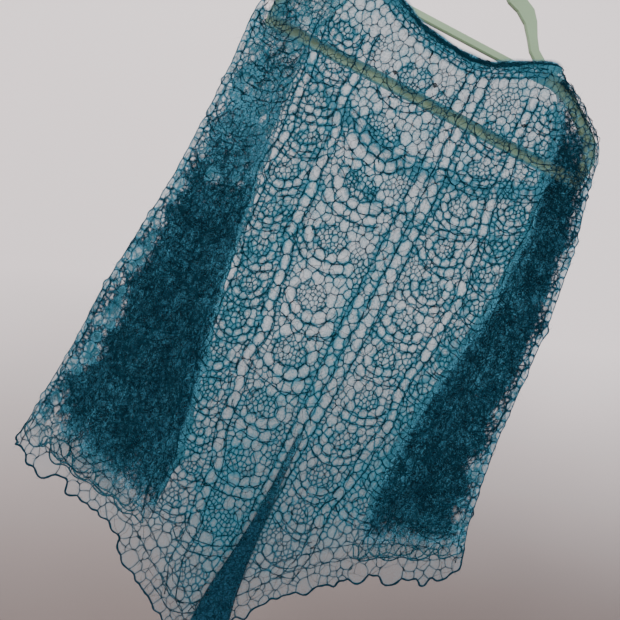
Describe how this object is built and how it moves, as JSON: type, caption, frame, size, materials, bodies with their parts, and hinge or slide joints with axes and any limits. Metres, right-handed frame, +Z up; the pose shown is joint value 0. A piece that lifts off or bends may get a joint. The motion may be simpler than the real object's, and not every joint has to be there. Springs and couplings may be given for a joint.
{
  "type": "mohair lace shawl on a hanger",
  "caption": "Triangular open-work mohair shawl hung over a flat moulded hanger, its two long corners turned back behind the arms.",
  "frame": {"origin": "inner top of the hanger's hook, where it rests on a rail", "axes": "+Z up, +X to the right of someone who looks at the side where the lace hangs before the hanger, +Y towards the wall behind"},
  "size_m": [0.5205, 0.0468, 0.9538],
  "materials": {
    "mohair_lace": "fuzzy knitted mohair",
    "mohair_dense": "fuzzy knitted mohair, several layers",
    "hanger_plastic": "satin sage green"
  },
  "bodies": {
    "root": {"panel_left": "mohair_lace", "panel_right": "mohair_lace", "border_left": "mohair_lace", "border_right": "mohair_lace", "spine": "mohair_dense", "neck_band": "mohair_dense", "wing_left": "mohair_dense", "wing_right": "mohair_dense", "wing_border_left": "mohair_dense", "wing_border_right": "mohair_dense", "wing_band_left": "mohair_dense", "wing_band_right": "mohair_dense", "hanger_arm_left": "hanger_plastic", "hanger_arm_right": "hanger_plastic", "hanger_bar": "hanger_plastic", "hanger_rail": "hanger_plastic", "hanger_hook": "hanger_plastic"}
  },
  "joints": []
}
